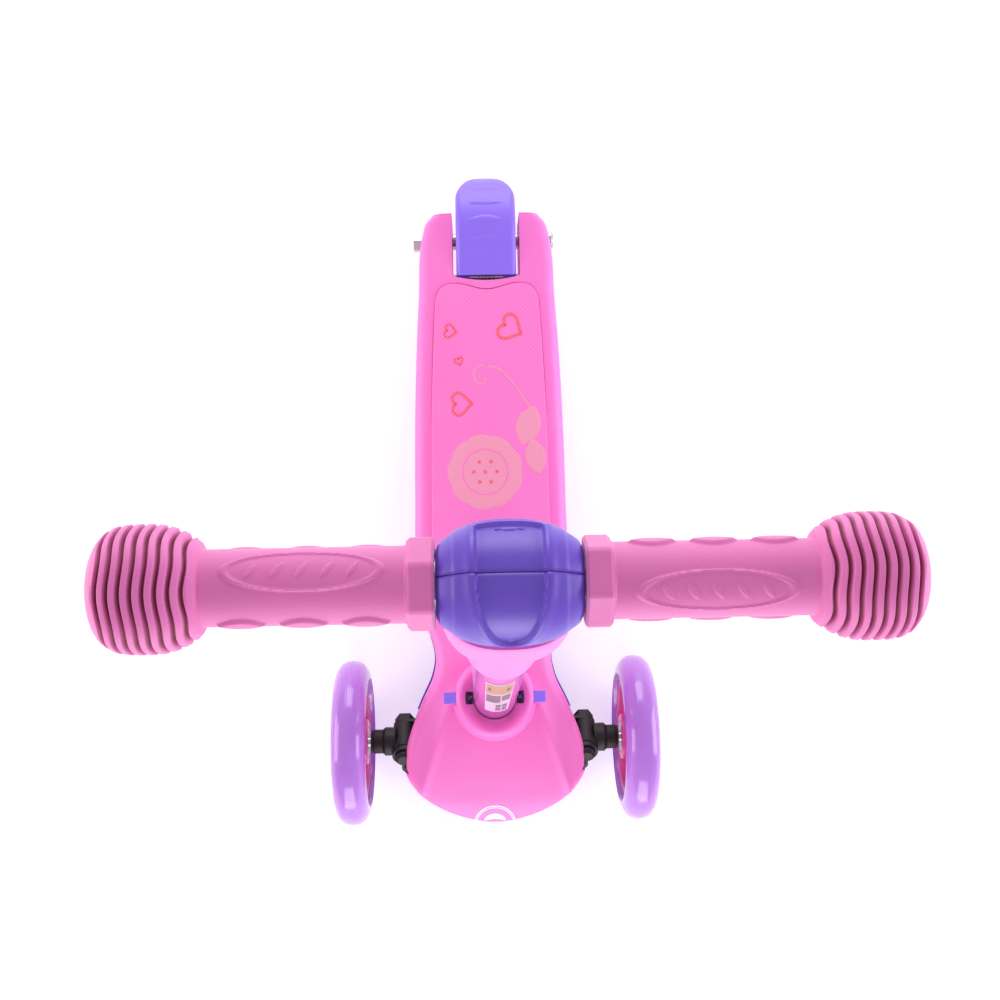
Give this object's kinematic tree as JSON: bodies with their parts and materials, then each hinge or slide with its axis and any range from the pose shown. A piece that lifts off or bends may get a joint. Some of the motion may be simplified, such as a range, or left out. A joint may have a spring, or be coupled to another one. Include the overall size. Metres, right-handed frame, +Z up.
{
  "type": "kick scooter",
  "caption": "Toddler kick scooter: lean-to-steer front axle, single rear wheel under a foot brake, and a leaning stem with a height-adjustable T handlebar.",
  "frame": {"origin": "on the ground, under the centre of the scooter's bounding box", "axes": "+Z up; -Y towards the nose; +X is the rider's left when facing the nose"},
  "size_m": [0.298, 0.4824, 0.5828],
  "materials": {
    "pink_plastic": "fine satin moulded plastic",
    "grip_pad": "soft pad with a fine dotted grain",
    "purple_plastic": "satin to semi-gloss moulded plastic",
    "black_nylon": "matt glass-filled nylon",
    "wheel_core": "glossy moulded plastic",
    "clear_tyre": "clear tinted polyurethane, glossy",
    "lilac_tube": "metallic lilac coat, glossy",
    "grip_rubber": "soft matt rubber",
    "zinc_steel": "bright zinc plating",
    "brass": "polished brass"
  },
  "bodies": {
    "deck": {"deck_shell": "pink_plastic", "deck_grip_pad": "grip_pad", "under_tray": "purple_plastic", "truck_frame": "black_nylon", "kingpin_left": "black_nylon", "kingpin_right": "black_nylon", "kingpin_nut_left": "black_nylon", "kingpin_nut_right": "black_nylon", "tray_screw_front": "zinc_steel", "tray_screw_rear": "zinc_steel", "centring_spring_left": "zinc_steel", "centring_spring_right": "zinc_steel", "rear_axle_bolt": "zinc_steel", "rear_axle_nut": "zinc_steel", "rear_axle_spacer_left": "zinc_steel", "rear_axle_spacer_right": "zinc_steel", "rear_bearing_spacer": "zinc_steel", "brake_pivot_pin": "zinc_steel", "brake_return_spring": "zinc_steel", "lower_tube": "lilac_tube", "height_collar": "pink_plastic", "collar_clamp_screw": "zinc_steel", "collar_clamp_nut": "zinc_steel", "release_spring_left": "zinc_steel", "release_spring_right": "zinc_steel", "socket_screw": "brass"},
    "knuckle_left": {"knuckle_left": "black_nylon", "left_axle_bolt": "zinc_steel", "left_bearing_spacer": "zinc_steel", "tie_rod_pin_left": "black_nylon"},
    "knuckle_right": {"knuckle_right": "black_nylon", "right_axle_bolt": "zinc_steel", "right_bearing_spacer": "zinc_steel", "tie_rod_pin_right": "black_nylon"},
    "tie_rod": {"tie_rod": "black_nylon"},
    "left_wheel": {"left_tyre": "clear_tyre", "left_wheel_core": "wheel_core", "left_bearing_a": "zinc_steel", "left_bearing_b": "zinc_steel"},
    "right_wheel": {"right_tyre": "clear_tyre", "right_wheel_core": "wheel_core", "right_bearing_a": "zinc_steel", "right_bearing_b": "zinc_steel"},
    "rear_wheel": {"rear_tyre": "clear_tyre", "rear_wheel_core": "wheel_core", "rear_bearing_a": "zinc_steel", "rear_bearing_b": "zinc_steel"},
    "brake": {"brake_fender": "purple_plastic", "brake_wear_plate": "zinc_steel"},
    "upper_stem": {"inner_tube": "lilac_tube", "neck_bell": "pink_plastic", "hub_front_shell": "purple_plastic", "hub_rear_shell": "purple_plastic", "hub_screw_left": "zinc_steel", "hub_screw_right": "zinc_steel", "crossbar_tube": "zinc_steel", "grip_left": "grip_rubber", "grip_right": "grip_rubber"},
    "release_button_left": {"release_button_left": "purple_plastic"},
    "release_button_right": {"release_button_right": "purple_plastic"}
  },
  "joints": [
    {"name": "left_steer", "type": "hinge", "parent": "deck", "child": "knuckle_left", "pos_m": [-0.067, -0.1815, 0.06], "axis": [0, -0.6428, 0.766], "range_deg": [-12, 12], "stiffness_Nm_per_rad": 5, "deforming": ["centring_spring_left", "centring_spring_right"]},
    {"name": "right_steer", "type": "hinge", "parent": "deck", "child": "knuckle_right", "pos_m": [0.067, -0.1815, 0.06], "axis": [0, -0.6428, 0.766], "range_deg": [-12, 12], "stiffness_Nm_per_rad": 5},
    {"name": "tie_rod_pivot", "type": "hinge", "parent": "knuckle_left", "child": "tie_rod", "pos_m": [-0.064, -0.19682, 0.04714], "axis": [0, -0.6428, 0.766], "range_deg": [-12.6, 12.6]},
    {"name": "left_wheel_spin", "type": "hinge", "parent": "knuckle_left", "child": "left_wheel", "pos_m": [-0.10425, -0.1815, 0.06], "axis": [1, 0, 0], "continuous": true},
    {"name": "right_wheel_spin", "type": "hinge", "parent": "knuckle_right", "child": "right_wheel", "pos_m": [0.10425, -0.1815, 0.06], "axis": [1, 0, 0], "continuous": true},
    {"name": "rear_wheel_spin", "type": "hinge", "parent": "deck", "child": "rear_wheel", "pos_m": [0, 0.1945, 0.04], "axis": [1, 0, 0], "continuous": true},
    {"name": "brake_press", "type": "hinge", "parent": "deck", "child": "brake", "pos_m": [0, 0.1615, 0.069], "axis": [-1, 0, 0], "range_deg": [0, 3.3], "stiffness_Nm_per_rad": 0.15, "springref_deg": -28.65, "deforming": ["brake_return_spring"]},
    {"name": "height_slide", "type": "slide", "parent": "deck", "child": "upper_stem", "axis": [0, 0.2079, 0.9781], "range_m": [0, 0.08]},
    {"name": "release_left_press", "type": "slide", "parent": "deck", "child": "release_button_left", "axis": [1, 0, 0], "range_m": [0, 0.0033], "stiffness_N_per_m": 200, "springref_m": -0.002, "deforming": ["release_spring_left"]},
    {"name": "release_right_press", "type": "slide", "parent": "deck", "child": "release_button_right", "axis": [-1, 0, 0], "range_m": [0, 0.0033], "stiffness_N_per_m": 200, "springref_m": -0.002, "deforming": ["release_spring_right"]}
  ],
  "couplings": [
    {"joint": "right_steer", "follows": "left_steer", "ratio": 1},
    {"joint": "tie_rod_pivot", "follows": "left_steer", "ratio": -1.0465}
  ]
}
